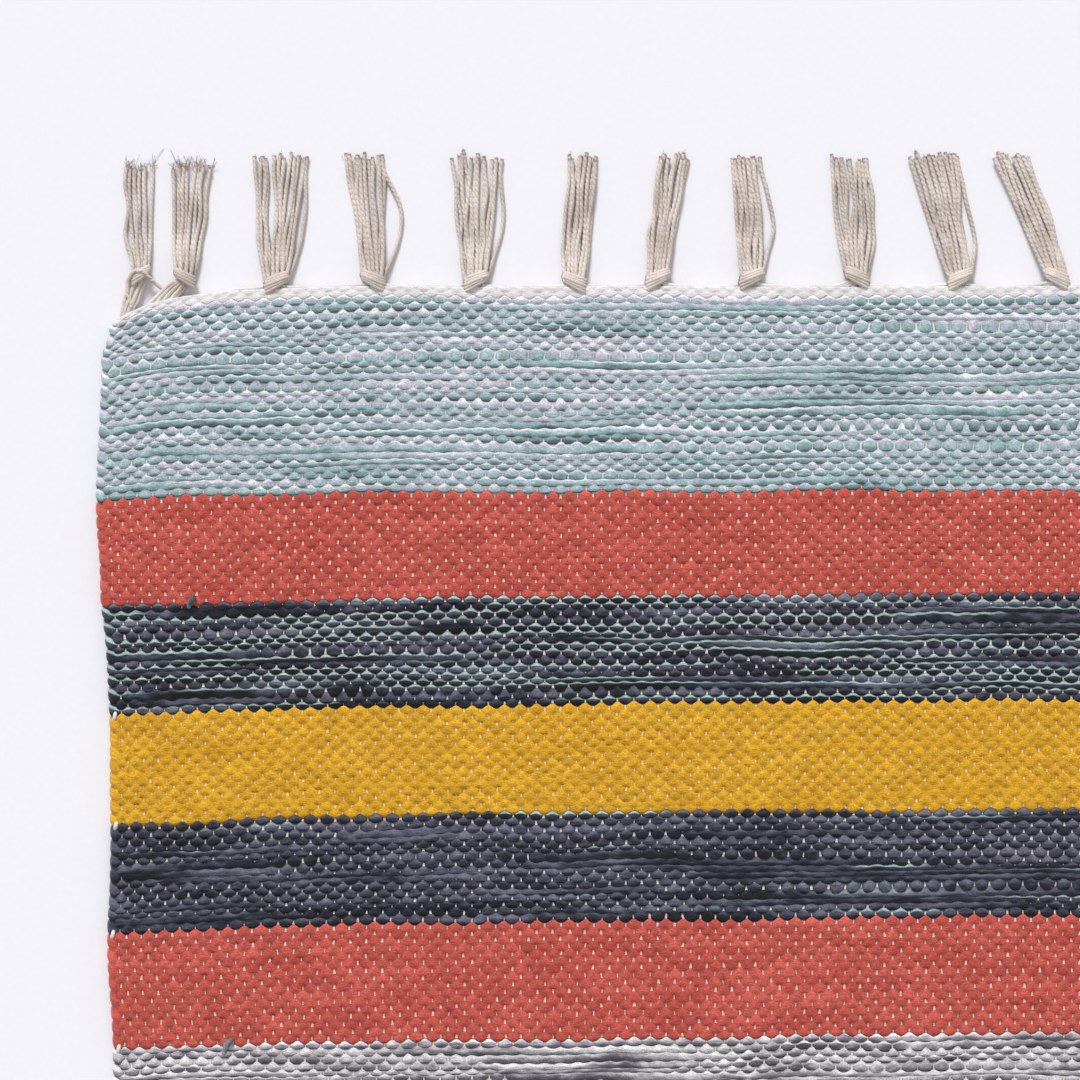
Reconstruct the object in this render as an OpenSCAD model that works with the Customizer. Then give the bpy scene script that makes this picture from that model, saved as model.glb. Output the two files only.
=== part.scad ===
// Flat-woven striped runner rug with a knotted fringe at both ends.
// The stripes run across the width, so each stripe is one length of weft
// beaten up over and under the warp ends. The warp ends run the whole
// length inside the weft, and leave it at both ends as knotted tassels.
// X is across the rug, +Y is towards the front end and +Z is up.
// The origin is under the middle of the rug, on the floor.

/* [Warp] */
// Distance between neighbouring warp ends
warp_pitch = 3; // [2.6:0.1:3.4]
// Thickness of one warp end inside the weave
warp_d = 1.5; // [1.2:0.1:1.6]
// Number of full tassels along each end, between the two pairs at the corners
full_tassels = 16; // [6:2:16]

/* [Weft] */
// Distance between neighbouring weft passes
pick_pitch = 2.55; // [2.3:0.05:2.8]
// Weft passes in a narrow stripe
narrow_picks = 16; // [12:2:20]
// Weft passes in a wide band
wide_picks = 28; // [20:2:32]
// Weft passes in the plain header beside each fringe
header_picks = 2; // [2:1:3]
// Thickness of the woven cloth
cloth_t = 4.8; // [4:0.1:5.2]

/* [Fringe] */
// Length of a tassel from the cloth to its tips
tassel_len = 47.5; // [40:0.5:60]
// Width of a full tassel's knot
knot_w = 8.2; // [8:0.1:9]
// Length of a knot along the tassel
knot_len = 7; // [6:0.5:8]
// Height of a knot above the floor
knot_h = 6.2; // [5.4:0.1:6.4]
// Thickness of one hanging strand
strand_d = 1.5; // [1.3:0.1:1.5]
// Angle by which each strand fans out from the next
fan_step = 2.2; // [1:0.1:2.6]

/* [Movement] */
// Height of the fold's axis above the cloth
fold_rise = 2; // [1:0.5:8]

/* [Hidden] */
// Warp ends gathered in the corner tassel, the one beside it, and a full one
CORNER_ENDS = 6;
SECOND_ENDS = 8;
FULL_ENDS = 12;
GROUPS = concat([CORNER_ENDS, SECOND_ENDS], [for (i = [1:full_tassels]) FULL_ENDS],
                [SECOND_ENDS, CORNER_ENDS]);
warp_ends = 2 * (CORNER_ENDS + SECOND_ENDS) + FULL_ENDS * full_tassels;
rug_w = warp_ends * warp_pitch;

// Clearances: between pieces that lie face to face, and across a moving joint
TOUCH = 0.05;
CLEAR = 0.3;

// The short stretch of warp ends between the cloth and a knot
NECK_LEN = 1.4;
NECK_T = 1.6;

// One rib is one weft pass: flat on top, with a groove on each side of it
GROOVE = 0.8;
rib_slope = pick_pitch * 0.24;

// The stripes of one group, and the bands of the front half from its end to
// the middle. The middle band is shared with the back half, which mirrors it.
STRIPES = ["coral", "navy", "mustard", "navy", "coral"];
BANDS = concat(["header", "sky"], STRIPES, ["grey"], STRIPES, ["sky"], STRIPES, ["grey"]);
last_band = len(BANDS) - 1;

function picks_of(i) =
    BANDS[i] == "header" ? header_picks
    : i == last_band ? wide_picks / 2
    : BANDS[i] == "sky" || BANDS[i] == "grey" ? wide_picks
    : narrow_picks;
function picks_inside(i) = i == last_band ? 0 : picks_inside(i + 1) + picks_of(i + 1);
function band_y(i) = CLEAR / 2 + picks_inside(i) * pick_pitch;
half_len = band_y(0) + picks_of(0) * pick_pitch;

// The back half folds over about a line across the middle. Each tassel turns
// about a line along the end of the cloth, just above its knot, so that it
// folds back over the cloth without touching it.
fold_axis_z = cloth_t + fold_rise;
tassel_axis_z = knot_h + CLEAR;
echo(fold_axis = [0, 0, fold_axis_z], tassel_axis = [0, half_len, tassel_axis_z]);

function ends_before(i) = i == 0 ? 0 : ends_before(i - 1) + GROUPS[i - 1];
function tassel_x(i) = (ends_before(i) + GROUPS[i] / 2) * warp_pitch - rug_w / 2;
function two_digits(n) = n < 10 ? str("0", n) : str(n);
function tassel_name(side, i) = str("tassel_", side, "_", two_digits(i + 1));

SIDES = ["front", "back"];
COLOURS = ["header", "sky", "grey", "coral", "navy", "mustard"];

function paint(c) =
    c == "header" ? "linen"
    : c == "sky" ? "lightsteelblue"
    : c == "grey" ? "lightgrey"
    : c == "coral" ? "indianred"
    : c == "navy" ? "darkslategray"
    : "goldenrod";

// Everything is drawn for the front half. The back half is its mirror image.
module on_side(side) {
    if (side == "front") children();
    else mirror([0, 1, 0]) children();
}

// A straight six-sided yarn along Y, with flats against its neighbours
module yarn(d, length) {
    rotate([-90, 0, 0]) rotate(30) cylinder(h = length, d = d, $fn = 6);
}

module warp() {
    color("antiquewhite")
        for (i = [0:warp_ends - 1])
            translate([(i + 0.5) * warp_pitch - rug_w / 2, band_y(last_band), cloth_t / 2])
                yarn(warp_d, half_len - band_y(last_band));
}

// The ribbed outline of a stripe, seen along the weft
module stripe_outline(picks) {
    length = picks * pick_pitch;
    ribs = [for (i = [0:picks - 1]) each [
        [i * pick_pitch + rib_slope, 0],
        [(i + 1) * pick_pitch - rib_slope, 0],
        if (i < picks - 1) [(i + 1) * pick_pitch, GROOVE]]];
    under = concat([[TOUCH, GROOVE]], ribs, [[length - TOUCH, GROOVE]]);
    over = [for (i = [len(under) - 1:-1:0]) [under[i][0], cloth_t - under[i][1]]];
    polygon(concat(under, over));
}

// One stripe: a weft laid back and forth, closed by its turns at both edges,
// with the space through it where the warp ends lie
module stripe(picks) {
    slot_w = rug_w - warp_pitch + warp_d + 2 * TOUCH;
    slot_h = warp_d + 2 * TOUCH;
    difference() {
        rotate([90, 0, 90])
            translate([0, 0, -rug_w / 2])
                linear_extrude(rug_w) stripe_outline(picks);
        translate([-slot_w / 2, -pick_pitch, (cloth_t - slot_h) / 2])
            cube([slot_w, (picks + 2) * pick_pitch, slot_h]);
    }
}

module weft(colour) {
    color(paint(colour))
        for (i = [0:last_band])
            if (BANDS[i] == colour)
                translate([0, band_y(i), 0]) stripe(picks_of(i));
}

// The warp ends drawn together between the cloth and the knot
module neck(w) {
    translate([0, 0, (cloth_t - NECK_T) / 2])
        linear_extrude(NECK_T)
            polygon([[-w, CLEAR], [w, CLEAR], [w / 2, CLEAR + NECK_LEN], [-w / 2, CLEAR + NECK_LEN]]);
}

// An overhand knot, drawn down flat against the end of the cloth
module knot(w) {
    bevel = knot_h / 4;
    y0 = CLEAR + NECK_LEN;
    translate([-w / 2, y0, 0])
        rotate([90, 0, 90])
            linear_extrude(w)
                polygon([[0, bevel], [bevel, 0], [knot_len - bevel, 0], [knot_len, bevel],
                         [knot_len, knot_h - bevel], [knot_len - bevel, knot_h],
                         [bevel, knot_h], [0, knot_h - bevel]]);
}

// The free strands, in two layers that fan out from the knot to the tips
module strands(count) {
    across = count / 2;
    pitch = 2 * knot_w / FULL_ENDS;
    root_y = CLEAR + NECK_LEN + knot_len + 3 * TOUCH;
    layer = strand_d + 2 * TOUCH;
    for (k = [0:across - 1], level = [0, 1]) {
        place = k - (across - 1) / 2;
        translate([place * pitch, root_y, layer * (level + 0.5)])
            rotate(-place * fan_step)
                yarn(strand_d, tassel_len - root_y);
    }
}

module tassel(i) {
    w = knot_w * GROUPS[i] / FULL_ENDS;
    color("wheat")
        translate([tassel_x(i), half_len, 0]) {
            neck(w);
            knot(w);
            strands(GROUPS[i]);
        }
}

for (side = SIDES) {
    on_side(side) warp();
    for (c = COLOURS)
        on_side(side) weft(c);
    for (i = [0:len(GROUPS) - 1])
        on_side(side) tassel(i);
}
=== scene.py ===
"""A striped flat-woven runner rug with a knotted fringe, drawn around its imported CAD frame.

Each band of the cloth is one closed skin, whose surface rises and dips as its wefts do. The warp ends inside
it and the fringe are drawn yarn by yarn.

Lengths are metres in the frame's own axes: X across the rug, +Y towards the front fringe, Z up. Places on the
cloth are given in weave units: u counts warp ends from the left edge, v counts weft passes from the middle.
"""

import math

import bpy
import numpy as np
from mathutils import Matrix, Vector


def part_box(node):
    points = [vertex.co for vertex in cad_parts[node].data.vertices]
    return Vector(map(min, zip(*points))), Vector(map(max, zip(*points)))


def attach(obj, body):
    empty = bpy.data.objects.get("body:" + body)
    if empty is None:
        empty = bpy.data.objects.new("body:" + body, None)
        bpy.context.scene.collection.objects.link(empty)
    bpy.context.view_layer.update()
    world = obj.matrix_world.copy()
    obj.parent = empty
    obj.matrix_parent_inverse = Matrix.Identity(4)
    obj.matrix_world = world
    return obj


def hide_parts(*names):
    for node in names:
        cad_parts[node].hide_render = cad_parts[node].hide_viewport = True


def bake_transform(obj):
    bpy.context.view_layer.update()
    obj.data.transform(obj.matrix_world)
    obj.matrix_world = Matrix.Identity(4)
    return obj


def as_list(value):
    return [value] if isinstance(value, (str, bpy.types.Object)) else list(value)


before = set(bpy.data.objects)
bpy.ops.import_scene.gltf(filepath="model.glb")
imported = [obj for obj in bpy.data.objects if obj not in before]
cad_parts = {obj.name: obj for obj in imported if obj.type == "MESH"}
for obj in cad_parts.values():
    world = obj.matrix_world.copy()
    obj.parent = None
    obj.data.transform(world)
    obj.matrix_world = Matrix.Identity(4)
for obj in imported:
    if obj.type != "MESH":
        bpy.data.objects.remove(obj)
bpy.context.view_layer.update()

MM = 0.001

# ---------------------------------------------------------------- sizes, the first ones from the frame

_, header_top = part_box("weft_header_front")
HALF_W, END_Y, THICK = header_top
MID_Z = THICK / 2
FULL_ENDS = 12                                   # warp ends gathered in a full tassel
GROUPS = [6, 8] + [FULL_ENDS] * 16 + [8, 6]      # and in every tassel along one end
WARPS = sum(GROUPS)
PITCH = 2 * HALF_W / WARPS                       # from one warp end to the next
HEADER, WIDE, NARROW = 2, 28, 16                 # weft passes (picks) in each kind of band
PICKS = {"header": HEADER, "sky": WIDE, "grey": WIDE, "coral": NARROW, "navy": NARROW, "mustard": NARROW}
STRIPES = ["coral", "navy", "mustard", "navy", "coral"]
HALF_BANDS = ["header", "sky"] + STRIPES + ["grey"] + STRIPES + ["sky"] + STRIPES
HALF_PICKS = sum(PICKS[colour] for colour in HALF_BANDS) + WIDE // 2
PICK = END_Y / HALF_PICKS                        # from one pick to the next
TASSEL_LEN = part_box("tassel_front_05")[1][1] - END_Y
FINE_BANDS = 8                                   # bands from the front that are fine enough for a close view
NEAR_FOLD = 30 * MM                              # the warp ends have closer rings this near to the fold

# ---------------------------------------------------------------- the weave's own shape

RISE = 1.5 * MM      # how far a weft's centre rises over a warp end
ROUND = 0.9 * MM     # half the thickness of a weft
WARP_TOP = 1.2 * MM  # how high a warp end shows between the wefts
WARP_HALF = 0.135    # half its shown width, in warp pitches
DIP = 1.1            # how far a weft dives under a warp end, as a share of RISE
DIVE = 4.5           # how suddenly it dives: the power of its dip's curve
CROWN = 0.68         # how a weft's side falls away: 0.5 is round, and 1 is nearly straight
FULL = 2.25 * MM     # the height that a felted cloth's gaps fill up towards
SPREAD_MID, SPREAD_AMP, SPREAD_TURN = 0.55, 0.14, 0.22  # a weft's half width, in picks
SKEW = 0.75          # how much more that changes on a weft's front side than on its back side
LEVEL = 0.3          # how a weft lies where it runs on in a line, from over (1) to under (-1)
DRAW_IN = 4.0 * MM   # how strongly the warp ends near a selvedge are drawn towards it
DRAWN_FROM, DRAWN_TO = 20 * MM, 100 * MM  # how soon from the selvedge that grows, and how soon it fades
PIT = 0.55 * MM      # the floor of a gap between yarns
NOTCH = 0.3          # how far a pick reaches past its band's straight edge, in picks
TURN_STEPS = 3       # columns of the mesh round each selvedge


def smooth(t):
    t = np.clip(t, 0, 1)
    return t * t * (3 - 2 * t)


def drift(x, y, size_x, size_y, seed):
    """Smooth noise of about -1 to 1 that changes over size_x and size_y, the same for the same seed."""
    table = np.random.default_rng(seed).uniform(-1, 1, (64, 64))
    gx, gy = np.asarray(x) / size_x, np.asarray(y) / size_y
    ix, iy = np.floor(gx).astype(int), np.floor(gy).astype(int)
    fx, fy = smooth(gx - ix), smooth(gy - iy)
    a, b = table[ix % 64, iy % 64], table[(ix + 1) % 64, iy % 64]
    c, d = table[ix % 64, (iy + 1) % 64], table[(ix + 1) % 64, (iy + 1) % 64]
    return (a * (1 - fx) + b * fx) * (1 - fy) + (c * (1 - fx) + d * fx) * fy


def curve(points, at):
    """A smooth line through (place, value) points, level beyond its ends."""
    x, y = np.array(points, float).T
    i = np.clip(np.searchsorted(x, at) - 1, 0, len(x) - 2)
    return y[i] + (y[i + 1] - y[i]) * smooth((at - x[i]) / (x[i + 1] - x[i]))


def weft_top(over, across, side, turn):
    """Height of a weft that is over (1) to under (-1) the warp, at a distance across it in picks, on its
    front side (1) or its back side (-1)."""
    half = SPREAD_MID + SPREAD_AMP * (1 + SKEW * side) * over + SPREAD_TURN * turn
    crown = 1 - (across / half) ** 2
    centre = RISE * (1 - DIP * ((1 - over) / 2) ** DIVE)
    return np.where(crown > 0, centre + ROUND * np.maximum(crown, 0) ** CROWN, -RISE)


def weave_top(u, v, face, turn, level):
    """Height of the cloth's face over its middle plane. face is 1 above and -1 below; turn is 1 where a weft
    turns back round the last warp end; level is 1 where the wefts run on in lines, with no bumps."""
    pick = np.floor(v)
    off = v - pick - 0.5
    over = face * np.cos(math.pi * (u - 0.5)) * (1 - 2 * np.mod(pick, 2))
    warp = 1 - ((u - np.floor(u) - 0.5) / WARP_HALF) ** 2
    warp = WARP_TOP - 0.3 * MM * (1 - np.sqrt(np.maximum(warp, 0)))
    warp = np.where((np.abs(u - np.floor(u) - 0.5) < WARP_HALF) & (turn < 0.5), warp, PIT)
    side = np.sign(off)
    near = weft_top(over + (LEVEL - over) * level, np.abs(off), side, turn)
    beyond = weft_top(-over + (LEVEL + over) * level, 1 - np.abs(off), -side, turn)
    return np.maximum(np.maximum(near, beyond), warp)


def across_cloth(u):
    """Where warp end u lies in the straight cloth. The ends are closer together near the selvedges."""
    x = np.asarray(u) * PITCH - HALF_W
    inset = HALF_W - np.abs(x)
    grown, faded = 1 - np.exp(-inset / DRAWN_FROM), np.exp(-inset / DRAWN_TO)
    return x + np.sign(x) * DRAW_IN * grown * faded


# ---------------------------------------------------------------- how the cloth lies

# Each pair is a distance from the front end of the cloth and a shift, both in millimetres
LEFT_WANDER = [(0, 3.4), (8, 1.5), (22, -1.2), (76, -3.2), (110, -1.5), (135, 0.6), (170, 1.9), (210, 1.9),
               (245, 0.9), (285, 3.2), (360, 1.0), (480, -1.6), (640, 1.2), (800, -0.8), (1000, 1.4),
               (1250, -1.0), (1500, 1.6), (1700, -0.5)]
CORNER_SAG = [(0, 12.0), (12, 9.0), (25, 6.0), (45, 3.6), (76, 1.3), (120, 0.8), (300, 0.8), (500, 0)]
EDGE_DROP = [(0, 0.6), (76, 1.3), (117, 1.0), (158, 1.7), (199, 2.6), (240, 1.6), (281, 0.5), (500, 1.5),
             (800, 0)]
ROW_TILT = [(0, 0), (76, 1.5), (117, 2.5), (158, 3.3), (199, 2.6), (240, 4.4), (281, 4.6), (500, -1.0),
            (800, 1.4), (1200, -1.2), (1734, 0)]
ROW_SHIFT = [(0, 0), (5, 1.3), (40, 1.0), (76, 0.8), (117, 2.7), (158, 4.0), (199, 4.4), (240, 5.4),
             (281, 2.9), (340, 0.5), (420, 0)]
SAG_REACH, DROP_REACH = 18 * MM, 110 * MM  # how far in from the edge CORNER_SAG and EDGE_DROP are felt


def lie(x, y):
    """Where a point of the perfectly straight cloth really lies: rows that sag at a corner and wander."""
    x, y = np.asarray(x, float), np.asarray(y, float)
    from_end, from_back = (END_Y - y) / MM, (END_Y + y) / MM
    across = x / HALF_W
    left, right = smooth((-across - 0.45) / 0.55), smooth((across - 0.45) / 0.55)
    dx = left * curve(LEFT_WANDER, from_end) + right * curve(LEFT_WANDER, from_back + 90)
    dx += 0.35 * drift(x, y, 14 * MM, 30 * MM, 1)
    inset = HALF_W - np.abs(x)
    lower = np.where(x < 0, 1.0, 0.5)
    corner = np.exp(-np.maximum(inset, 0) / SAG_REACH)
    dy = lower * corner * (0.5 * curve(CORNER_SAG, from_back) - curve(CORNER_SAG, from_end))
    dy -= lower * smooth(1 - inset / DROP_REACH) * curve(EDGE_DROP, from_end)
    dy += across * curve(ROW_TILT, from_end) + curve(ROW_SHIFT, from_end)
    at_ends = smooth(np.minimum(from_end, from_back) / 8) * 0.6 + 0.4
    dy += at_ends * (0.7 * drift(x, y, 33 * MM, 17 * MM, 2) + 0.3 * drift(x, y, 11 * MM, 7 * MM, 3))
    return x + dx * MM, y + dy * MM


# ---------------------------------------------------------------- meshes

def mesh_object(name, points, faces, smooth_faces=True):
    """A mesh from an array of points and a list of face arrays, each array holding faces of one size."""
    mesh = bpy.data.meshes.new(name)
    corners = np.concatenate([f.ravel() for f in faces]).astype(np.int32)
    sizes = np.concatenate([np.full(len(f), f.shape[1]) for f in faces])
    starts = np.concatenate([[0], np.cumsum(sizes)[:-1]]).astype(np.int32)
    mesh.vertices.add(len(points))
    mesh.vertices.foreach_set("co", np.asarray(points, np.float32).ravel())
    mesh.loops.add(len(corners))
    mesh.loops.foreach_set("vertex_index", corners)
    mesh.polygons.add(len(sizes))
    mesh.polygons.foreach_set("loop_start", starts)
    mesh.polygons.foreach_set("use_smooth", np.full(len(sizes), smooth_faces))
    mesh.update(calc_edges=True)
    obj = bpy.data.objects.new(name, mesh)
    bpy.context.scene.collection.objects.link(obj)
    return obj


def put(obj, name, values):
    """Stores one vector for each point, for the material to read."""
    data = obj.data.attributes.new(name, "FLOAT_VECTOR", "POINT")
    data.data.foreach_set("vector", np.asarray(values, np.float32).ravel())


def ring_faces(rings, around):
    """Quads that join rings of points, each ring closed."""
    r, c = np.meshgrid(np.arange(rings - 1), np.arange(around), indexing="ij")
    nxt = (c + 1) % around
    quad = [r * around + c, r * around + nxt, (r + 1) * around + nxt, (r + 1) * around + c]
    return np.stack(quad, -1).reshape(-1, 4)


def band_columns(top_steps, under_steps):
    """The columns round a band: over the top from left to right, round the right edge, back under it, and
    round the left edge. Returns u, the angle from the top face, and turn for each."""
    first, last = 0.5, WARPS - 0.5
    top = np.linspace(first, last, (WARPS - 1) * top_steps + 1)
    under = np.linspace(last, first, (WARPS - 1) * under_steps + 1)
    bend = np.linspace(0, math.pi, TURN_STEPS + 2)[1:-1]
    u = np.concatenate([top, np.full(TURN_STEPS, last), under, np.full(TURN_STEPS, first)])
    angle = np.concatenate([0 * top, bend, 0 * under + math.pi, math.pi + bend])
    edge = np.minimum(u - first, last - u)
    return u, angle, 1 - smooth(edge / 0.7)


def band_surface(u, v, angle, turn, loose, felt, lines, inside):
    """Points on the cloth's skin, with the weave coordinates and the level that the material reads. loose,
    felt and lines are as in BAND_LOOKS, and inside is 0 to 1 from the band's long edges in."""
    sideways, upright = np.sin(angle), np.cos(angle)
    face = np.where(upright >= 0, 1.0, -1.0)
    wound = np.where(angle < math.pi, angle, 2 * math.pi - angle) / math.pi
    on_turn = np.abs(sideways) > 1e-6
    slant = turn * np.where(on_turn, wound, 0)
    uneven = loose * drift(u + 300 * face, v, 45, 1.3, 5) + 0.07 * drift(u, v, 1.7, 1.3, 6)
    shown_v = v - slant + inside * uneven
    shown_face = np.where(on_turn, 1.0, face)
    shown_u = u + 0.13 * (1 - turn) * drift(u, v, 1.7, 1.3, 7)
    level = lines * inside * (1 - turn) * smooth((drift(u + 300 * face, shown_v, 24, 1.15, 9) - 0.2) / 0.25)
    h = weave_top(shown_u, shown_v, shown_face, turn, level)
    h *= 1 + 0.05 * drift(u, v, 5, 2.3, 4) + 0.05 * drift(u, v, 1.6, 0.9, 8)
    h += (FULL - h) * np.maximum(felt, 0.5 * turn)
    x, y = lie(across_cloth(u), v * PICK)
    return (np.stack([x + sideways * h, y, MID_Z + upright * h], -1),
            np.stack([shown_u, shown_v, shown_face * (1 + turn)], -1), level)


def weave_band(name, first_pick, last_pick, steps, rows, loose, felt, lines, thin):
    """One weft's stripe as a closed skin. Its two long edges follow the bumps of its first and last pick.
    steps is how many mesh columns each warp end has above and below, and rows how many rows each pick has."""
    u, angle, turn = band_columns(*steps)
    around = len(u)
    v = np.linspace(first_pick, last_pick, (last_pick - first_pick) * rows + 1)
    U, V = np.meshgrid(u, v)
    over = np.cos(math.pi * (U - 0.5)) * np.cos(angle)
    low = NOTCH * over * (1 - 2 * (first_pick % 2)) * smooth(1 - (V - first_pick) / 0.6)
    high = NOTCH * over * (1 - 2 * ((last_pick - 1) % 2)) * smooth(1 - (last_pick - V) / 0.6)
    inner = HALF_PICKS - 0.01
    V = V - np.where(first_pick > -inner, low, 0) + np.where(last_pick < inner, high, 0)
    inside = smooth(np.minimum(V - first_pick, last_pick - V) / 1.5)
    angle, turn = angle[None, :] + 0 * U, turn[None, :] + 0 * U
    points, woven, level = band_surface(U, V, angle, turn, loose, felt, lines, inside)
    points[..., 2] = np.maximum(MID_Z + (points[..., 2] - MID_Z) * thin, 0)
    tops, unders = (WARPS - 1) * steps[0] + 1, (WARPS - 1) * steps[1] + 1
    under_at = tops + TURN_STEPS
    caps = []
    for ring, flip in ((0, False), (len(v) - 1, True)):
        base = ring * around
        spans = []
        for j in range(WARPS - 1):
            upper = base + np.arange(j * steps[0], (j + 1) * steps[0] + 1)
            lower = base + under_at + unders - 1 - np.arange(j * steps[1], (j + 1) * steps[1] + 1)
            spans.append(np.concatenate([upper, lower[::-1]]))
        right = base + np.arange(tops - 1, under_at + 1)
        left = base + np.concatenate([np.arange(under_at + unders - 1, around), [0]])
        for block in (np.array(spans), right[None, :], left[None, :]):
            caps.append(block if not flip else block[:, ::-1])
    obj = mesh_object(name, points.reshape(-1, 3), [ring_faces(len(v), around)[:, ::-1]] + caps)
    put(obj, "weave", woven.reshape(-1, 3))
    put(obj, "level", np.repeat(level.reshape(-1, 1), 3, axis=1))
    return obj


def tubes(paths, radius, sides):
    """Yarns along paths, an array of yarns by points by 3, as closed tubes. Returns points and faces."""
    count, length, _ = paths.shape
    along = np.gradient(paths, axis=1)
    along /= np.linalg.norm(along, axis=2, keepdims=True)
    up = np.zeros_like(along)
    up[..., 2] = 1.0
    steep = np.abs(along[..., 2]) > 0.9
    up[steep] = (1.0, 0.0, 0.0)
    side = np.cross(along, up)
    side /= np.linalg.norm(side, axis=2, keepdims=True)
    up = np.cross(side, along)
    turn = np.arange(sides) * 2 * math.pi / sides
    r = np.broadcast_to(np.asarray(radius, float), (count, length))[..., None, None]
    points = paths[:, :, None] + r * (np.cos(turn)[None, None, :, None] * side[:, :, None]
                                      + np.sin(turn)[None, None, :, None] * up[:, :, None])
    one = ring_faces(length, sides)
    faces = (one[None] + (np.arange(count) * length * sides)[:, None, None]).reshape(-1, 4)
    ends = np.arange(sides)
    first = ends[None, :] + (np.arange(count) * length * sides)[:, None]
    last = first[:, ::-1] + (length - 1) * sides
    return points.reshape(-1, 3), faces, np.concatenate([first, last])


PLY_AWAY, PLY_SIZE = 0.24, 0.8  # how far a ply lies from its yarn's middle, and its radius, in yarn radii
STRAND_R, STRAND_LAY = 0.86 * MM, 4.2 * MM  # a fringe strand's radius, and how long its plies' turn is
TAIL_R, TAIL_LAY = 1.15 * MM, 4 * MM        # the same of a weft's cut end


def plied(paths, radius, lay, phase=0.0):
    """Each path as a two-ply yarn: a pair of thinner paths twisted round it once every lay metres."""
    along = np.gradient(paths, axis=1)
    step = np.linalg.norm(along, axis=2)
    along /= step[..., None]
    side = np.cross(along, np.array([0, 0, 1.0]))
    side /= np.maximum(np.linalg.norm(side, axis=2, keepdims=True), 1e-9)
    up = np.cross(side, along)
    turn = (np.cumsum(step, axis=1) / lay * 2 * math.pi + phase)[..., None]
    away = radius * PLY_AWAY * (np.cos(turn) * side + np.sin(turn) * up)
    return np.concatenate([paths + away, paths - away]), radius * PLY_SIZE


# ---------------------------------------------------------------- materials

def linear(channel):
    """A display channel of 0 to 255 as the linear value that a shader takes."""
    share = channel / 255
    return ((share + 0.055) / 1.055) ** 2.4 if share > 0.04045 else share / 12.92


def rgb(red, green, blue):
    return linear(red), linear(green), linear(blue), 1.0


class Nodes:
    """A material's node tree, written as if its nodes were functions."""

    def __init__(self, name):
        self.material = bpy.data.materials.new(name)
        self.material.use_nodes = True
        self.tree = self.material.node_tree
        self.tree.nodes.clear()

    def node(self, kind, settings=(), inputs=()):
        made = self.tree.nodes.new(kind)
        for key, value in dict(settings).items():
            setattr(made, key, value)
        for key, value in dict(inputs).items():
            self.feed(made.inputs[key], value)
        return made

    def feed(self, socket, value):
        if isinstance(value, bpy.types.NodeSocket):
            self.tree.links.new(value, socket)
        else:
            socket.default_value = value

    def math(self, operation, *values):
        return self.node("ShaderNodeMath", {"operation": operation}, dict(enumerate(values))).outputs[0]

    def attribute(self, name):
        split = self.node("ShaderNodeSeparateXYZ", {}, {
            0: self.node("ShaderNodeAttribute", {"attribute_name": name}).outputs["Vector"]})
        return split.outputs[0], split.outputs[1], split.outputs[2]

    def vector(self, x, y, z=0.0):
        return self.node("ShaderNodeCombineXYZ", {}, {0: x, 1: y, 2: z}).outputs[0]

    def place(self):
        return self.node("ShaderNodeTexCoord").outputs["Object"]

    def noise(self, vector, scale, detail=2.0, rough=0.5):
        return self.node("ShaderNodeTexNoise", {}, {
            "Vector": vector, "Scale": scale, "Detail": detail, "Roughness": rough}).outputs[0]

    def between(self, value, low, high, to_low=0.0, to_high=1.0):
        return self.node("ShaderNodeMapRange", {"clamp": True, "interpolation_type": "SMOOTHSTEP"}, {
            0: value, 1: low, 2: high, 3: to_low, 4: to_high}).outputs[0]

    def mix(self, share, a, b, kind="MIX"):
        made = self.node("ShaderNodeMix", {"data_type": "RGBA", "blend_type": kind, "clamp_factor": True},
                         {0: share, 6: a, 7: b})
        return made.outputs[2]

    def ramp(self, value, stops):
        made = self.node("ShaderNodeValToRGB", {}, {0: value})
        marks = made.color_ramp.elements
        while len(marks) < len(stops):
            marks.new(0.5)
        for mark, (place, colour) in zip(marks, stops):
            mark.position, mark.color = place, colour
        return made.outputs[0]

    def cotton(self, colour, height, strength=0.6):
        """Ends the tree in matt cotton of that colour, with that height in metres as its surface."""
        bump = self.node("ShaderNodeBump", {}, {"Strength": strength, "Distance": 1.0, "Height": height})
        shader = self.node("ShaderNodeBsdfPrincipled", {}, {
            "Base Color": colour, "Roughness": 0.92, "Normal": bump.outputs[0],
            "Specular IOR Level": 0.25, "Sheen Weight": 0.25, "Sheen Roughness": 0.5})
        out = self.node("ShaderNodeOutputMaterial")
        self.tree.links.new(shader.outputs[0], out.inputs[0])
        return self.material


def weft_nodes(nodes, over, across, side, turn, level):
    """weft_top() as nodes, for a surface finer than the mesh. Returns the height and the half width."""
    m = nodes.math
    over = m("MULTIPLY_ADD", m("SUBTRACT", LEVEL, over), level, over)
    amp = m("MULTIPLY_ADD", side, SPREAD_AMP * SKEW, SPREAD_AMP)
    half = m("ADD", m("MULTIPLY_ADD", over, amp, SPREAD_MID), m("MULTIPLY", turn, SPREAD_TURN))
    crown = m("SUBTRACT", 1.0, m("POWER", m("DIVIDE", across, half), 2.0))
    dive = m("POWER", m("MULTIPLY_ADD", over, -0.5, 0.5), DIVE)
    centre = m("MULTIPLY_ADD", dive, -RISE * DIP, RISE)
    top = m("MULTIPLY_ADD", m("POWER", m("MAXIMUM", crown, 0.0), CROWN), ROUND, centre)
    shown = m("GREATER_THAN", crown, 0.0)
    return m("MULTIPLY_ADD", m("ADD", top, RISE), shown, -RISE), half


def grey_of(nodes, value):
    return nodes.node("ShaderNodeCombineColor", {}, {0: value, 1: value, 2: value}).outputs[0]


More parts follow.
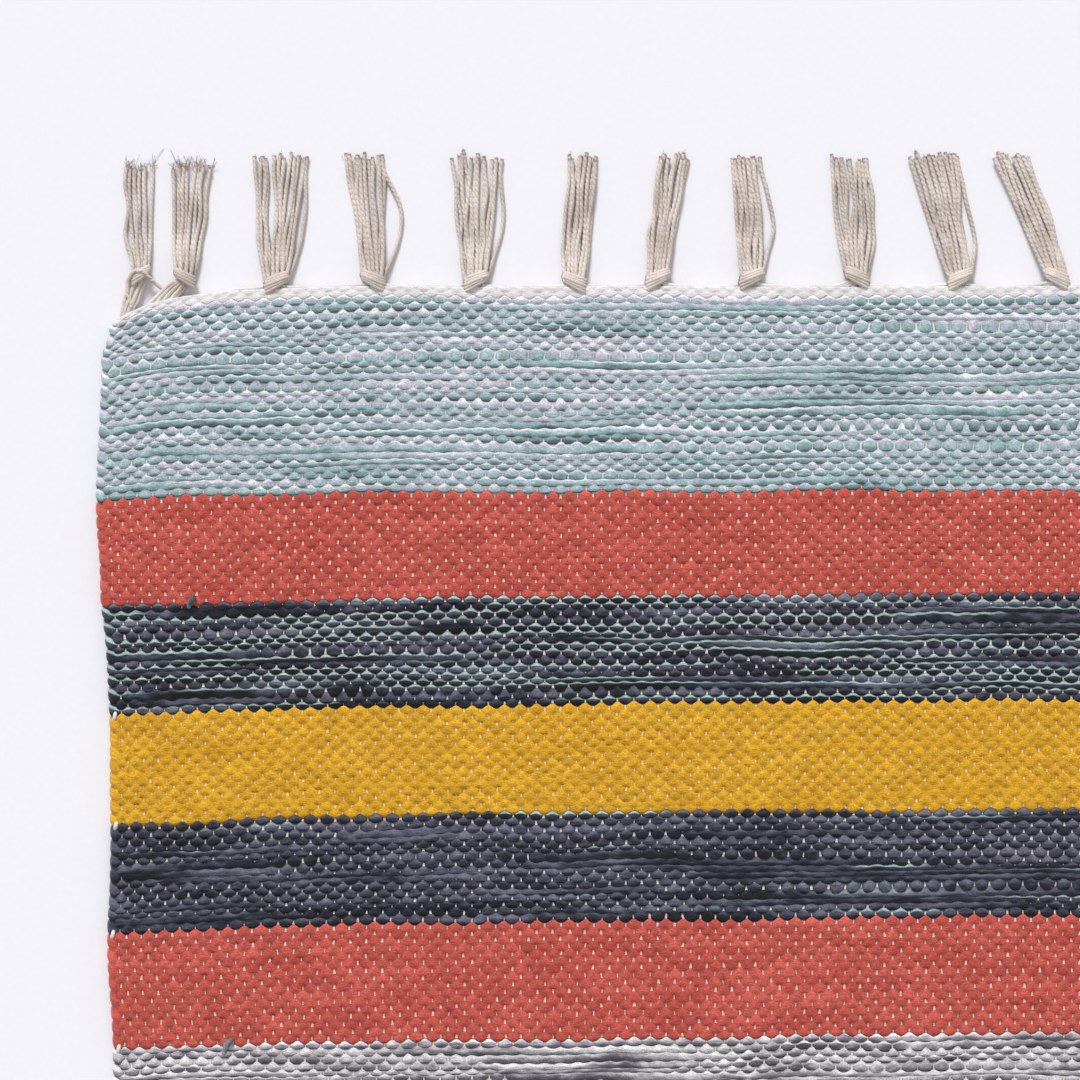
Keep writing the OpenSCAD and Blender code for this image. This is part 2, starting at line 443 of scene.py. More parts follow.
def weave_material(name, yarn_colour, tick_size, tick_long, tick_tint, relief_and_gap_shade, shade, grain):
    """Cloth whose wefts take yarn_colour(nodes, pick, u, lay), with cream warp ends between them. lay runs
    from -1 to 1 across the weft, towards the front fringe, which is where the light comes from. A warp end
    shows for tick_long picks to each side of a crossing, and tick_tint is how much of the weft's colour it
    takes, as painted light scattered onto it from the wefts. relief_and_gap_shade is how deep the gaps
    between the wefts are, both as bump height and as painted shade that darkens them, shade is how much
    painted shade darkens the back side of each weft, away from the light, and grain how much its fibres vary."""
    nodes = Nodes(name)
    m = nodes.math

    # which weft this is, how far it has risen over the warp, and how high it stands
    u, v, code = nodes.attribute("weave")
    face = m("SIGN", code)
    turn = m("SUBTRACT", m("ABSOLUTE", code), 1.0)
    pick = m("FLOOR", v)
    off = m("SUBTRACT", m("SUBTRACT", v, pick), 0.5)
    parity = m("MULTIPLY_ADD", m("FLOORED_MODULO", pick, 2.0), -2.0, 1.0)
    wave = m("COSINE", m("MULTIPLY", m("SUBTRACT", u, 0.5), math.pi))
    over = m("MULTIPLY", m("MULTIPLY", face, parity), wave)
    size, side = m("ABSOLUTE", off), m("SIGN", off)
    level, _, _ = nodes.attribute("level")
    near, near_half = weft_nodes(nodes, over, size, side, turn, level)
    beyond, beyond_half = weft_nodes(nodes, m("MULTIPLY", over, -1.0), m("SUBTRACT", 1.0, size),
                                     m("MULTIPLY", side, -1.0), turn, level)
    farther = m("GREATER_THAN", beyond, near)
    weft = m("MAXIMUM", near, beyond)
    step = m("MULTIPLY", farther, side)
    shown_pick = m("ADD", pick, step)
    half = m("MULTIPLY_ADD", farther, m("SUBTRACT", beyond_half, near_half), near_half)
    lay = m("DIVIDE", m("SUBTRACT", off, step), half)

    # the warp ends that show between the wefts: each has its own width and length, and a drop's shape
    gap = m("ABSOLUTE", m("SUBTRACT", m("FRACT", u), 0.5))
    raised = nodes.noise(nodes.vector(m("FLOOR", u), m("MULTIPLY", pick, 1.7)), 3.7, 0.0)
    drop = m("MULTIPLY_ADD", off, -1.3, 1.0)
    drop = m("MULTIPLY", drop, WARP_HALF * tick_size)
    warp_half = m("MULTIPLY", nodes.between(raised, 0.25, 0.75, 0.55, 1.35), drop)
    warp_share = m("DIVIDE", gap, warp_half)
    warp_crown = m("SQRT", m("MAXIMUM", m("SUBTRACT", 1.0, m("POWER", warp_share, 2.0)), 0.0))
    warp = m("MULTIPLY_ADD", warp_crown, 0.5 * MM, WARP_TOP - 0.4 * MM)
    is_warp = m("MULTIPLY", m("GREATER_THAN", warp, weft), m("LESS_THAN", warp_share, 1.0))
    is_warp = m("MULTIPLY", is_warp, m("LESS_THAN", turn, 0.5))
    tick_end = m("MULTIPLY", nodes.between(raised, 0.3, 0.7, 0.7, 1.15), tick_long)
    is_warp = m("MULTIPLY", is_warp, nodes.between(size, tick_end, m("ADD", tick_end, 0.06), 1.0, 0.0))
    top = m("MAXIMUM", m("MAXIMUM", weft, m("MULTIPLY", warp, is_warp)), PIT)

    # the fibres, fuzz and lumps of the wefts, and painted shade in the gaps between them and on their back
    # sides
    across_yarn = m("MULTIPLY_ADD", shown_pick, 17.3, m("MULTIPLY", lay, 2.6))
    twisted = m("MULTIPLY_ADD", lay, 0.8, m("MULTIPLY", u, 2.4))
    fibres = nodes.noise(nodes.vector(twisted, across_yarn), 1.0, 3.0, 0.65)
    fuzz = nodes.noise(nodes.place(), 2200.0, 2.0, 0.6)
    lump = nodes.noise(nodes.vector(m("MULTIPLY", u, 0.55), m("MULTIPLY", shown_pick, 3.3)), 1.0, 1.0)
    tone = nodes.between(fibres, 0.3, 0.7, 0.80, 1.16)
    tone = m("MULTIPLY", tone, nodes.between(fuzz, 0.32, 0.68, 0.84, 1.14))
    tone = m("MULTIPLY", tone, nodes.between(lump, 0.3, 0.7, 0.88, 1.1))
    tone = m("MULTIPLY_ADD", m("SUBTRACT", tone, 1.0), grain, 1.0)
    # painted shade: the lower the surface stands, the darker its colour, in the gaps between the yarns
    painted_gap_shade = nodes.between(top, 1.0 * MM, 2.15 * MM, 1 - 0.66 * relief_and_gap_shade, 1.0)
    # painted shade: each weft's back side, which faces away from the light, is made darker by shade
    under = nodes.between(lay, -0.95, -0.4, 1 - shade, 1.0)
    # painted light: each weft's front side, towards the light, is spared the painted shade of the gaps
    lit = m("MAXIMUM", m("MULTIPLY", turn, 0.5), nodes.between(lay, -0.1, 0.6, 0.0, 0.75))
    painted_gap_shade = m("MULTIPLY_ADD", m("SUBTRACT", 1.0, painted_gap_shade), lit, painted_gap_shade)
    painted_gap_shade = m("MULTIPLY", painted_gap_shade, under)
    weft_colour = yarn_colour(nodes, shown_pick, u, lay)
    colour = nodes.mix(1.0, weft_colour, grey_of(nodes, m("MULTIPLY", tone, painted_gap_shade)), "MULTIPLY")
    # painted light: the warp end takes on some of the weft's colour, as light scattered from the wefts
    tick = nodes.mix(tick_tint, TICK, weft_colour)
    tick = nodes.mix(1.0, tick, grey_of(nodes, nodes.between(raised, 0.3, 0.7, 0.72, 1.0)), "MULTIPLY")
    colour = nodes.mix(is_warp, colour, tick)
    height = m("ADD", m("MULTIPLY", top, 0.7 * relief_and_gap_shade), m("MULTIPLY", m("ADD", fibres, fuzz), 0.42 * MM))
    return nodes.cotton(colour, height)


def plain(base, light):
    """A yarn of one dye, a little uneven from pick to pick and along its length."""
    def colour(nodes, pick, u, lay):
        m = nodes.math
        uneven = nodes.noise(nodes.vector(m("MULTIPLY", u, 0.12), m("MULTIPLY", pick, 5.3)), 1.0, 2.0)
        return nodes.mix(nodes.between(uneven, 0.3, 0.7), base, light)
    return colour


def melange(stops, dash, lit_side_slope, ply_highlight, ply_highlight_share, ply_highlight_from):
    """A yarn spun from several dyes, whose colour runs on for about dash warp ends. It moves up its scale by
    lit_side_slope from the back side of the yarn to the front side, which faces the light: painted light and
    shade. ply_highlight is a pale ply that shows along the lit front side of some picks, and so is partly a
    painted highlight: the more of them the lower ply_highlight_share is, and the wider the lower
    ply_highlight_from is."""
    def colour(nodes, pick, u, lay):
        m = nodes.math
        along = nodes.noise(nodes.vector(m("DIVIDE", u, dash), m("MULTIPLY", pick, 7.31)), 1.0, 3.0, 0.6)
        across = m("MULTIPLY_ADD", lay, 0.9, m("MULTIPLY", pick, 3.17))
        ply = nodes.noise(nodes.vector(m("DIVIDE", u, 2.3), across), 1.0, 2.0)
        mixed = m("MULTIPLY_ADD", ply, 0.5, m("MULTIPLY_ADD", along, 1.0, -0.25))
        # painted light and shade: the weft is paler on its front side, towards the light, and darker on its
        # back
        made = nodes.ramp(m("MULTIPLY_ADD", lay, lit_side_slope, mixed), stops)
        where = nodes.noise(nodes.vector(m("DIVIDE", u, dash * 1.4), m("MULTIPLY", pick, 11.7)), 1.0, 2.0)
        # the pale ply, painted only along the lit front edge of the weft, is partly a painted highlight
        edge = m("MULTIPLY", nodes.between(lay, ply_highlight_from, ply_highlight_from + 0.25), nodes.between(lay, 1.0, 0.84))
        shown = nodes.between(where, ply_highlight_share, ply_highlight_share + 0.06)
        return nodes.mix(m("MULTIPLY", edge, shown), made, ply_highlight)
    return colour


def cotton_yarn(name, dark, light):
    """Bare spun yarn, as in the tassels: an uneven tone with fine fibres along it."""
    nodes = Nodes(name)
    broad = nodes.noise(nodes.place(), 90.0, 2.0)
    fibres = nodes.noise(nodes.place(), 1900.0, 3.0, 0.65)
    tone = nodes.math("MULTIPLY_ADD", fibres, 0.5, nodes.math("MULTIPLY", broad, 0.5))
    bleach, _, _ = nodes.attribute("bleach")
    tone = nodes.between(tone, 0.36, 0.64)
    bleached = nodes.mix(tone, rgb(206, 200, 197), rgb(236, 233, 231))
    colour = nodes.mix(bleach, nodes.mix(tone, dark, light), bleached)
    return nodes.cotton(colour, nodes.math("MULTIPLY", fibres, 0.3 * MM), 0.8)


TICK = rgb(240, 230, 222)
# Each dye scale runs from dark to pale: a place on it and its colour. lit_side_slope moves a weft's front
# side, towards the light, up its scale and its back side down it, as painted light and shade
SKY = [(0.22, rgb(88, 102, 108)), (0.36, rgb(120, 146, 148)), (0.46, rgb(152, 184, 182)),
       (0.55, rgb(168, 184, 194)), (0.64, rgb(194, 190, 204)), (0.76, rgb(228, 222, 230))]
GREY = [(0.26, rgb(70, 66, 76)), (0.40, rgb(102, 98, 106)), (0.50, rgb(148, 143, 149)),
        (0.60, rgb(194, 189, 193)), (0.74, rgb(226, 223, 225))]
NAVY = [(0.30, rgb(10, 10, 16)), (0.45, rgb(36, 38, 50)), (0.57, rgb(74, 76, 92)), (0.70, rgb(110, 112, 128))]
# the pale plies' colours, which also serve as a painted highlight along each weft's lit front edge
LILAC_WHITE, PALE_MINT, WHITE = rgb(232, 228, 234), rgb(164, 190, 184), rgb(236, 233, 236)
DYES = {
    "header": plain(rgb(224, 218, 218), rgb(234, 230, 230)),
    "sky": melange(SKY, 26.0, 0.2, LILAC_WHITE, 0.47, 0.45),
    "grey": melange(GREY, 12.0, 0.2, WHITE, 0.5, 0.4),
    "coral": plain(rgb(184, 75, 65), rgb(202, 92, 79)),
    "navy": melange(NAVY, 26.0, 0.14, PALE_MINT, 0.45, 0.32),
    "navy_dark": melange(NAVY, 30.0, 0.14, PALE_MINT, 0.6, 0.36),
    "mustard": plain(rgb(209, 152, 26), rgb(221, 167, 36)),
}
# tick_size, tick_long, tick_tint, relief_and_gap_shade, shade and grain of each, as in weave_material(); the
# painted shade comes from relief_and_gap_shade and shade, and painted light from tick_tint
PACKED = {
    "header": (0.9, 0.3, 0.7, 0.12, 0.05, 0.4),
    "sky": (0.65, 0.22, 0.35, 0.45, 0.45, 1.1),
    "grey": (0.7, 0.22, 0.35, 0.5, 0.5, 1.1),
    "coral": (0.9, 0.3, 0.36, 0.45, 0.25, 1.25),
    "navy": (0.85, 0.28, 0.2, 0.9, 0.7, 1.2),
    "navy_dark": (0.85, 0.26, 0.3, 0.9, 0.7, 1.2),
    "mustard": (0.75, 0.22, 0.5, 0.4, 0.18, 1.1),
}
WEFTS = {yarn: weave_material(f"{yarn}_weft", dye, *PACKED[yarn]) for yarn, dye in DYES.items()}
ECRU = cotton_yarn("ecru_cotton", rgb(188, 174, 164), rgb(226, 214, 206))
TAIL_YARNS = {"navy": cotton_yarn("navy_yarn_end", rgb(44, 48, 58), rgb(104, 108, 120)),
              "grey": cotton_yarn("grey_yarn_end", rgb(84, 82, 92), rgb(150, 150, 158))}
CREAM = cotton_yarn("cream_warp_cotton", rgb(214, 206, 196), rgb(236, 230, 222))


# ---------------------------------------------------------------- the cloth

# How unevenly a band's picks are spaced, how far its gaps are filled with fibres, how much of it runs on in
# lines, and its thickness as a share of the cloth's
BAND_LOOKS = {
    "header": (0.1, 0.6, 0.0, 0.8),
    "sky": (0.42, 0.25, 0.68, 1.0),
    "grey": (0.42, 0.25, 0.68, 1.0),
    "coral": (0.08, 0.42, 0.1, 1.0),
    "navy": (0.32, 0.15, 0.62, 1.0),
    "mustard": (0.1, 0.4, 0.25, 1.0),
}
BEND_SHARE = 0.94  # a share of the middle band's length, from which two points on either side of the fold are worked out


def all_bands():
    """(colour, yarn, first pick, last pick, how many bands from the front) for every band, front to back. The
    navy stripe behind each mustard one is of a darker lot of yarn."""
    order = HALF_BANDS + ["grey"] + HALF_BANDS[::-1]
    top = HALF_PICKS
    for i, colour in enumerate(order):
        yarn = "navy_dark" if colour == "navy" and order[i - 1] == "mustard" else colour
        yield colour, yarn, top - PICKS[colour], top, i
        top -= PICKS[colour]


def mesh_density(picks, fine):
    """A band's mesh columns at each warp end, above and below, and its rows at each pick."""
    if fine:
        return (3 if picks >= WIDE else 4, 1), 4
    return (1, 1), 3


def weave_cloth():
    """Every band as its own piece; each but the middle one is attached to its half of the rug. Returns each
    band and its length.
    """
    made, count = {}, {}
    for colour, yarn, low, high, i in all_bands():
        steps, rows = mesh_density(high - low, i < FINE_BANDS)
        middle = low < 0 < high
        side = "front" if low + high > 0 else "back"
        if middle:
            name = "weft_grey_middle"
        else:
            count[colour, side] = count.get((colour, side), 0) + 1
            name = f"weft_{colour}_{side}_{count[colour, side]}"
        band = weave_band(name, low, high, steps, rows, *BAND_LOOKS[colour])
        band.data.materials.append(WEFTS[yarn])
        if middle:
            start, end = (0, high * PICK * BEND_SHARE, MID_Z), (0, low * PICK * BEND_SHARE, MID_Z)
            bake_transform(band)
            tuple(start)
            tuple(end)
            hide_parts("weft_grey_front", "weft_grey_back")
        else:
            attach(band, f"{side}_half")
            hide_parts(f"weft_{colour}_{side}")
        made[name] = (band, (high - low) * PICK)
    return made


def weft_tail(colour, u, v, length, heading):
    """The cut end of a weft, left standing a little out of the cloth where a new colour starts. It leaves the
    cloth at u and v, and its heading is an angle from +X."""
    t = np.linspace(0, 1, 14)
    x, y = lie(u * PITCH - HALF_W, v * PICK)
    tail_x = x + length * t * math.cos(heading)
    tail_y = y + length * (t * math.sin(heading) + 0.12 * np.sin(t * 5))
    tail_z = MID_Z + (1.6 + 1.8 * np.sin(t * 2.0)) * MM
    paths, radius = plied(np.stack([tail_x, tail_y, tail_z], -1)[None], TAIL_R, TAIL_LAY)
    points, sides, caps = tubes(paths, radius * (1 - 0.25 * t ** 3), sides=6)
    tail = mesh_object(f"weft_tail_{colour}", points, [sides, caps])
    tail.data.materials.append(TAIL_YARNS[colour])
    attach(tail, "front_half")
    return tail


# ---------------------------------------------------------------- the warp ends inside it

FIRST_CHANGE = 3  # the first band, counted from the front, at whose far edge an end comes up
CORE_R, EDGE_R = 0.6 * MM, 0.75 * MM  # the radius of a warp end in the cloth, and of one that has come up


def edge_ends():
    """The outermost warp end on each side again, come up to the face for a moment where one weft gives way to
    the next."""
    changes = [low for _, _, low, _, i in all_bands() if FIRST_CHANGE <= i < len(HALF_BANDS) * 2]
    paths = []
    for u in (0.55, WARPS - 0.55):
        for v in changes:
            t = np.linspace(-1, 1, 13)
            x, y = lie(across_cloth(u + 0.2 * t), (v + 0.8 * t) * PICK)
            paths.append(np.stack([x, y, MID_Z + (2.3 - 1.7 * t ** 2) * MM], -1))
    return np.array(paths)


def lay_warp():
    """The warp ends, through the middle of the cloth from header to header, with closer rings at the fold."""
    far = np.linspace(NEAR_FOLD, END_Y - 1 * MM, 30)
    near = np.linspace(0, NEAR_FOLD, 11)[:-1]
    half = np.concatenate([near, far])
    y = np.concatenate([-half[::-1], half[1:]])
    u = np.arange(WARPS) + 0.5
    x, y = np.meshgrid(across_cloth(u), y, indexing="ij")
    x, y = lie(x, y)
    paths = np.stack([x, y, np.full_like(x, MID_Z)], -1)
    points, sides, ends = tubes(paths, CORE_R, sides=4)
    edge_points, edge_sides, edge_caps = tubes(edge_ends(), EDGE_R, sides=6)
    faces = [sides, ends, edge_sides + len(points), edge_caps + len(points)]
    warp = mesh_object("warp_ends", np.concatenate([points, edge_points]), faces)
    warp.data.materials.append(CREAM)
    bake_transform(warp)
    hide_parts("warp_front", "warp_back")
    return warp


# ---------------------------------------------------------------- the fringe

# What each tassel at the front left looks like, from the corner inwards, in millimetres: how far its knot
# stands from the middle of its warp ends, and how far beyond the cloth; how far its tips lean from the knot;
# the width of its tips; how much shorter it is than a full one; how far a stray strand bows out to the side
# (0 for none); how far its warp ends come from the corner's side; and which way its knot is drawn
LOOKS = [
    (-0.2, 12.2, -1.2, 12.5, 5.0, 0, -6.5, 1),
    (-4.4, 7.0, 2.2, 15.5, 4.0, 0, -12.0, -1),
    (0.2, 2.6, 1.8, 22.0, 0, 2.5, 0, 1),
    (1.3, 2.3, -3.2, 14.5, 0, 8.5, 0, -1),
    (4.3, 2.4, 0.4, 19.0, 0, 3.0, 0, 1),
    (5.6, 1.9, 3.4, 12.0, 0, 0, 0, -1),
    (1.0, 2.8, 6.0, 12.0, 0, 0, 0, 1),
    (-0.4, 3.2, -2.0, 11.0, 1.0, 6.0, 0, 1),
    (3.0, 3.8, -2.2, 14.5, 1.0, 2.5, 0, -1),
    (4.8, 3.0, -9.0, 20.0, 0, 0, 0, 1),
    (5.4, 3.0, -17.0, 13.0, 0, 0, 0, -1),
]
# The loose yarn over the corner tassel's knot, from that knot's middle, in millimetres
LOOP = [(-3.2, -12.0, 0.2), (-4.8, -7.0, 0.6), (-4.6, -2.0, 1.2), (-2.2, 1.4, 2.2), (1.2, 1.2, 2.4),
        (4.4, -2.0, 1.0), (9.0, -6.0, -1.2)]
NECK_R = 0.6 * MM     # a warp end's radius where it hugs the cloth
FIBRE_R = 0.11 * MM   # a frayed fibre's radius
KNOT_HALF = 2.9 * MM  # half a knot's length along the tassel
KNOT_Z = 2.9 * MM     # the height of a knot's middle above the floor
BUNDLE_W, BUNDLE_H = 3.7 * MM, 1.1 * MM  # half a full tassel's width and height where its knot holds it
LOOSE_NECK = 5 * MM   # a knot that stands farther out than this has a neck of bare strands
ROOT = 2.2 * MM       # how far inside the header a tassel's warp ends are drawn
OVER = 1.2 * MM       # how much longer the longest strands are than the CAD's
TURN_AT = 1.2 * MM    # how far beyond the cloth a tassel has turned fully with its own body


def looks_of(side, i, rng):
    """One row of LOOKS: the one that the photo shows, or a random one of its kind."""
    last = len(GROUPS) - 1
    if side == "front" and i < len(LOOKS):
        return LOOKS[i]
    shift = {0: 3.0, 1: -2.0, last - 1: 2.0, last: -3.0}.get(i, rng.normal(0, 2.2))
    reach = {0: 9.0, 1: 4.0, last - 1: 4.0, last: 9.0}.get(i, rng.uniform(1.8, 3.2))
    stray = rng.choice([0, 0, 0, 8.0, -8.0])
    tips = rng.uniform(12, 20) * math.sqrt(GROUPS[i] / FULL_ENDS)
    return shift, reach, rng.normal(0, 4.0), tips, rng.uniform(0, 2.5), stray, 0, rng.choice([-1, 1])


def necks(ends, before, out, knot, bundle_w, order, level, loose, from_x):
    """The warp ends between the header and the knot. They run beside the cloth's end, then into the knot."""
    knot_x, knot_y, knot_z = knot
    gathered = 0.35 if before == 0 else 0.5 if loose else 1.0
    middle = across_cloth(before + ends / 2) + from_x
    x = np.maximum(middle + (np.arange(ends) - (ends - 1) / 2) * PITCH * gathered, -HALF_W + 2 * MM)
    root_x, root_y = lie(x, np.full(ends, out * (END_Y - ROOT)))
    t = np.linspace(0, 1, 17)[None, :]
    in_x = knot_x + order[:, None] * bundle_w * 0.8
    x = root_x[:, None] * (1 - smooth(t)) + in_x * smooth(t)
    _, edge = lie(x, np.full_like(x, out * END_Y))
    hug = edge + out * (0.2 + 0.5 * (1 - np.abs(order[:, None]))) * MM
    leave = smooth(t / 0.25)
    y = root_y[:, None] * (1 - leave) + hug * leave
    gather = smooth((t - 0.1) / 0.9) if loose else smooth((t - 0.55) / 0.45)
    y = y * (1 - gather) + (knot_y - out * KNOT_HALF * 0.5) * gather
    z = MID_Z + (0.4 * MM * level[:, None] - 0.2 * MM) * smooth(t / 0.3) + (knot_z - MID_Z) * gather
    if loose:
        bulge = np.sin(t * math.pi) * order[:, None]
        x = root_x[:, None] * (1 - t ** 0.9) + in_x * t ** 0.9 + bulge * (1.6 if before == 0 else 0.2) * MM
    return np.stack([x, y, z], -1)


def frayed(rng, ends_of, along, count, length):
    """Fine fibres that spread from the cut tips of the strands."""
    tips = np.repeat(ends_of, count, axis=0)
    heading = np.repeat(along, count, axis=0) + rng.normal(0, 0.28, tips.shape)
    heading /= np.linalg.norm(heading, axis=1, keepdims=True)
    start = tips - heading * rng.uniform(0.5, 2.5, (len(tips), 1)) * MM + rng.normal(0, 0.35 * MM, tips.shape)
    reach = rng.uniform(1.5, 4.5, (len(tips), 1, 1)) * length * MM
    t = np.linspace(0, 1, 5)[None, :, None]
    bend = rng.normal(0, 0.35, (len(tips), 1, 3)) * t ** 2
    paths = start[:, None] + reach * (heading[:, None] * t + bend)
    paths[..., 2] = np.clip(paths[..., 2], 0.2 * MM, THICK)
    return paths


def strands(rng, knot, tip_y, looks, bundle_w, bundle_h, order, level):
    """The free strands, which leave the knot in two layers and spread out side by side on the floor."""
    knot_x, knot_y, knot_z = knot
    lean, tip_w, stray = looks
    ends = len(order)
    s = np.linspace(0, 1, 64)[None, :]
    spread = order * tip_w / 2 + rng.normal(0, 0.5 * MM, ends)
    fan = s ** 0.6
    bends = rng.normal(0, 0.75 * MM, (2, ends, 1))
    wave = bends[0] * np.sin(s * rng.uniform(3, 6, (ends, 1)) + rng.uniform(0, 6, (ends, 1)))
    wave += 0.4 * bends[1] * np.sin(s * rng.uniform(9, 15, (ends, 1)) + rng.uniform(0, 6, (ends, 1)))
    x = knot_x + lean * s ** 1.15 + order[:, None] * bundle_w * (1 - fan) + spread[:, None] * fan
    x = x + wave * smooth(s * 3)
    length = (tip_y - knot_y) * (1 + rng.normal(0, 0.02, (ends, 1)))
    y = knot_y + length * s
    crowd = np.clip(bundle_w * 2.6 / (tip_w + 1 * MM), 0.25, 1)
    rest = STRAND_R + (level[:, None] > 0) * STRAND_R * 1.5 * crowd
    z = knot_z + level[:, None] * bundle_h * (1 - smooth(s * 4)) + (rest - knot_z) * smooth(s * 2.4)
    z = z + 0.2 * MM * np.sin(s * 7 + order[:, None] * 5) * smooth(s * 2)
    if stray:
        k = ends - 1 if stray > 0 else 0
        x[k] += stray * 0.75 * np.sin(np.clip(s[0] * 1.1, 0, 1) * math.pi) ** 1.3
        z[k] = np.maximum(z[k] - 1.2 * MM * smooth(s[0] * 3), STRAND_R)
    return np.stack([x, y, np.maximum(z, STRAND_R + 0.05 * MM)], -1)


def knot_turns(knot, bundle_w, bundle_h, count, slant):
    """The strands of the knot itself: rings drawn slantwise round the bundle, spread out on one side."""
    knot_x, knot_y, knot_z = knot
    a = np.linspace(-math.pi, math.pi, 37)[None, :]
    lane = (np.arange(count) - (count - 1) / 2)[:, None]
    side = np.sin(a)
    swell = 1 - 0.05 * np.abs(lane)
    x = knot_x + side * (bundle_w + 0.6 * MM) * swell
    y = knot_y + lane * 0.95 * MM * (1 - 0.25 * slant * side) + slant * 1.9 * MM * side
    z = knot_z + np.cos(a) * (bundle_h + 1.2 * MM) * (1 - 0.1 * np.abs(lane))
    return np.stack([x, y, np.maximum(z, STRAND_R)], -1)


def knot_core(knot, out, bundle_h):
    """What fills the middle of a knot: one short fat spindle. Returns its path and its radii."""
    knot_x, knot_y, knot_z = knot
    t = np.linspace(0, 1, 9)[None, :]
    y = knot_y + out * (t - 0.5) * 2.2 * KNOT_HALF
    path = np.stack([np.full_like(y, knot_x), y, np.full_like(y, knot_z)], -1)
    return path, np.sin(np.clip(t, 0.06, 0.94) * math.pi) ** 0.5 * (bundle_h + 0.9 * MM)


def corner_loop(knot):
    """The loose yarn that lies over the corner tassel's knot."""
    bends = np.array(LOOP) * MM + np.array(knot)
    t = np.linspace(0, len(LOOP) - 1, 40)
    return np.stack([curve(list(enumerate(bends[:, axis])), t) for axis in range(3)], -1)[None]


def tassel(side, i):
    """One tassel: the warp ends that leave the cloth, the knot that gathers them, and the free strands."""
    rng = np.random.default_rng(1000 * (side == "back") + i)
    ends, before = GROUPS[i], sum(GROUPS[:i])
    out = 1.0 if side == "front" else -1.0
    *lengths, slant = looks_of(side, i, rng)
    shift, reach, lean, tip_w, short, stray, from_x = (np.array(lengths) * MM).tolist()
    loose = reach > LOOSE_NECK
    knot_x, edge_y = (float(n) for n in lie((before + ends / 2) * PITCH - HALF_W + shift, out * END_Y))
    knot = knot_x, edge_y + out * reach, KNOT_Z
    size = math.sqrt(ends / FULL_ENDS)
    bundle_w, bundle_h = BUNDLE_W * size, BUNDLE_H * size
    order = (np.arange(ends) + 0.5) / ends * 2 - 1              # -1 to 1 from left to right in the bundle
    level = np.where(np.arange(ends) % 2 == 0, 1.0, -1.0)       # its upper layer and its lower one

    core, core_r = knot_core(knot, out, bundle_h)
    neck = necks(ends, before, out, knot, bundle_w, order, level, loose, from_x)
    tip_y = out * (END_Y + TASSEL_LEN + OVER - short)
    free = strands(rng, knot, tip_y, (lean, tip_w, stray), bundle_w, bundle_h, order, level)
    turns = knot_turns(knot, bundle_w, bundle_h, 5 if ends > 8 else 4, slant)
    along = free[:, -1] - free[:, -6]
    along /= np.linalg.norm(along, axis=1, keepdims=True)
    fibres = frayed(rng, free[:, -1], along, 16 if loose else 4, 1.0 if loose else 0.3)

    # each part of the tassel: its paths, their radius, and how many sides its tubes have
    parts = {"neck": (neck, STRAND_R * 0.9 if loose else NECK_R, 8), "strands": (free, STRAND_R, 5),
             "knot": (turns, STRAND_R * 0.95, 8), "core": (core, core_r, 8), "fibres": (fibres, FIBRE_R, 3)}
    if side == "front" and i == 0:
        parts["loop"] = corner_loop(knot), STRAND_R, 5
    points, faces, bleach, at = [], [], [], 0
    for part, (paths, radius, sides) in parts.items():
        if part in ("strands", "loop"):
            paths, radius = plied(paths, radius, STRAND_LAY, rng.uniform(0, 6))
        p, quads, caps = tubes(paths, radius, sides)
        points.append(p)
        faces += [quads + at, caps + at]
        beyond = (p[:, 1] - edge_y) * out
        near_cloth = smooth(1 - (beyond - 0.5 * MM) / (2.5 * MM))
        bleach.append(near_cloth * (part == "neck") * (0.4 if loose else 1.0))
        at += len(p)
    obj = mesh_object(f"fringe_{side}_{i + 1:02d}", np.concatenate(points), faces)
    bleach = np.concatenate(bleach)
    put(obj, "bleach", np.stack([bleach, bleach, bleach], -1))
    obj.data.materials.append(ECRU)
    name = f"tassel_{side}_{i + 1:02d}"
    start, end = (0, out * (END_Y - ROOT + 0.2 * MM), MID_Z), (0, out * (END_Y + TURN_AT), MID_Z)
    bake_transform(obj)
    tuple(start)
    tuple(end)
    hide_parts(name)
    return obj


# ---------------------------------------------------------------- camera, light and floor

def add_camera():
    """Straight above the front left corner of the rug, as high as a long lens needs."""
    height, seen = 1.6, 402.5 * MM  # the camera's height, and the width of floor that it sees
    data = bpy.data.cameras.new("camera")
    data.sensor_width = 36
    data.lens = data.sensor_width * height / seen
    camera = bpy.data.objects.new("camera", data)
    camera.location = (-HALF_W + 161 * MM, END_Y - 94.3 * MM, height)
    bpy.context.scene.collection.objects.link(camera)
    bpy.context.scene.camera = camera


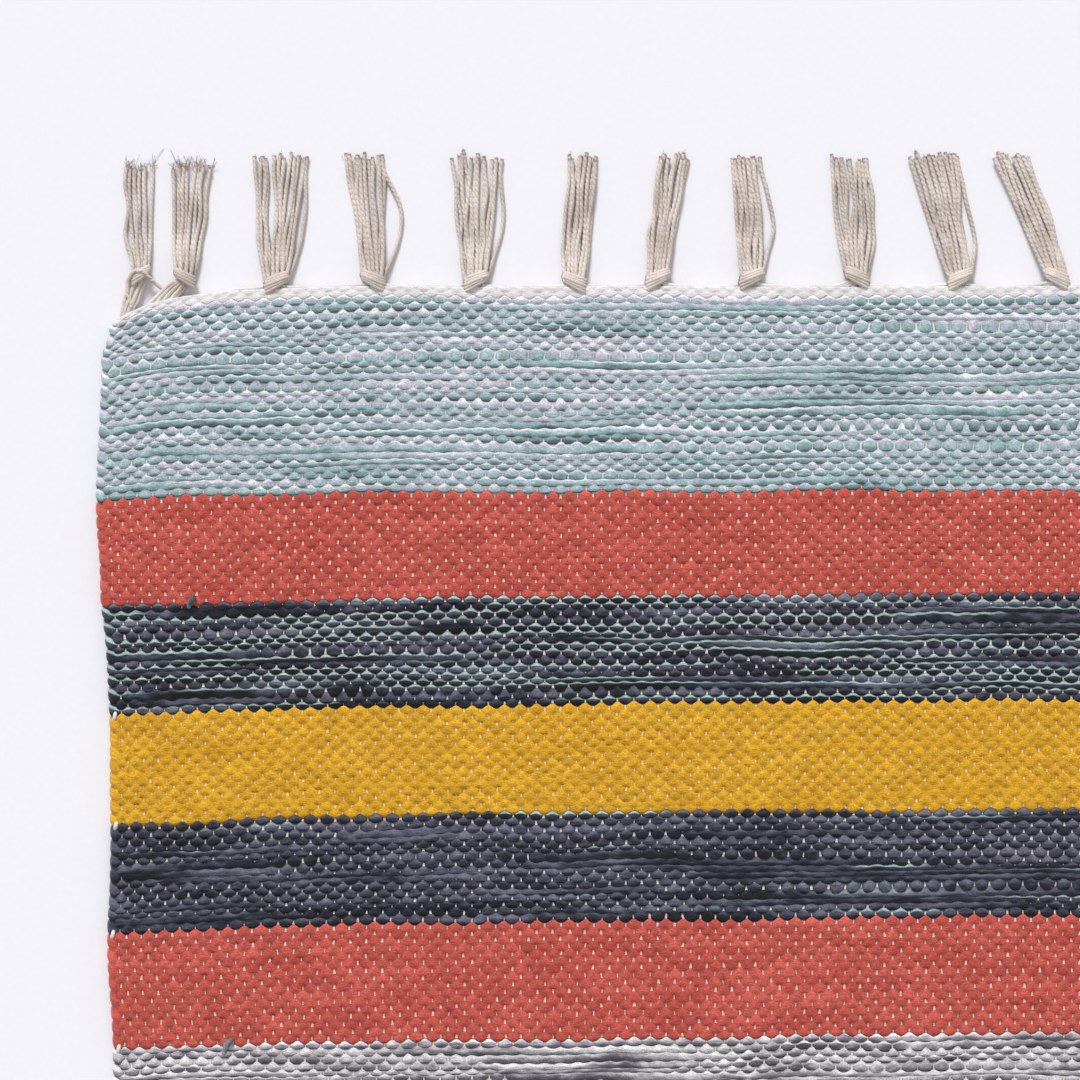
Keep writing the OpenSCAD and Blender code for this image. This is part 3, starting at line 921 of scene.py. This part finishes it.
def add_light():
    """Soft daylight from beyond the front fringe, and a pale sky all round."""
    world = bpy.data.worlds.new("studio")
    world.use_nodes = True
    world.node_tree.nodes["Background"].inputs[0].default_value = (0.97, 0.98, 1.0, 1)
    world.node_tree.nodes["Background"].inputs[1].default_value = 0.55
    bpy.context.scene.world = world
    sun = bpy.data.lights.new("window", "SUN")
    sun.energy, sun.angle = 3.1, math.radians(16)
    lamp = bpy.data.objects.new("window", sun)
    lamp.rotation_euler = (math.radians(-56), 0, math.radians(12))
    bpy.context.scene.collection.objects.link(lamp)
    bpy.context.scene.view_settings.view_transform = "Standard"


def add_floor():
    nodes = Nodes("pale_floor")
    grain = nodes.noise(nodes.place(), 400.0, 3.0)
    shade = nodes.mix(grain, rgb(232, 231, 236), rgb(238, 237, 242))
    shader = nodes.node("ShaderNodeBsdfPrincipled", {}, {"Base Color": shade, "Roughness": 0.9})
    nodes.tree.links.new(shader.outputs[0], nodes.node("ShaderNodeOutputMaterial").inputs[0])
    reach = 8.0
    corners = np.array([[-reach, -reach, 0], [reach, -reach, 0], [reach, reach, 0], [-reach, reach, 0]])
    floor = mesh_object("floor", corners, [np.array([[0, 1, 2, 3]])], smooth_faces=False)
    floor.data.materials.append(nodes.material)


add_camera()
add_light()
add_floor()
cloth = weave_cloth()
warp_ends = lay_warp()
first_navy = HALF_PICKS - HEADER - WIDE - NARROW
first_grey = first_navy - NARROW * 4
navy_tail = weft_tail("navy", 10.6, first_navy - 0.3, 5.0 * MM, 1.1)
grey_tail = weft_tail("grey", 13.6, first_grey - 1.2, 7.5 * MM, 1.15)
fringe = {side: [tassel(side, i) for i in range(len(GROUPS))] for side in ("front", "back")}

# The small pieces listed with each band of cloth
goes_with = {
    "weft_sky_front_1": [cloth["weft_header_front_1"][0]] + fringe["front"],
    "weft_sky_back_2": [cloth["weft_header_back_1"][0]] + fringe["back"],
    "weft_grey_middle": [warp_ends],
    "weft_navy_front_1": [navy_tail],
    "weft_grey_front_1": [grey_tail],
}
for name, (band, length) in cloth.items():
    if "header" not in name:
        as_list(goes_with.get(name, []))
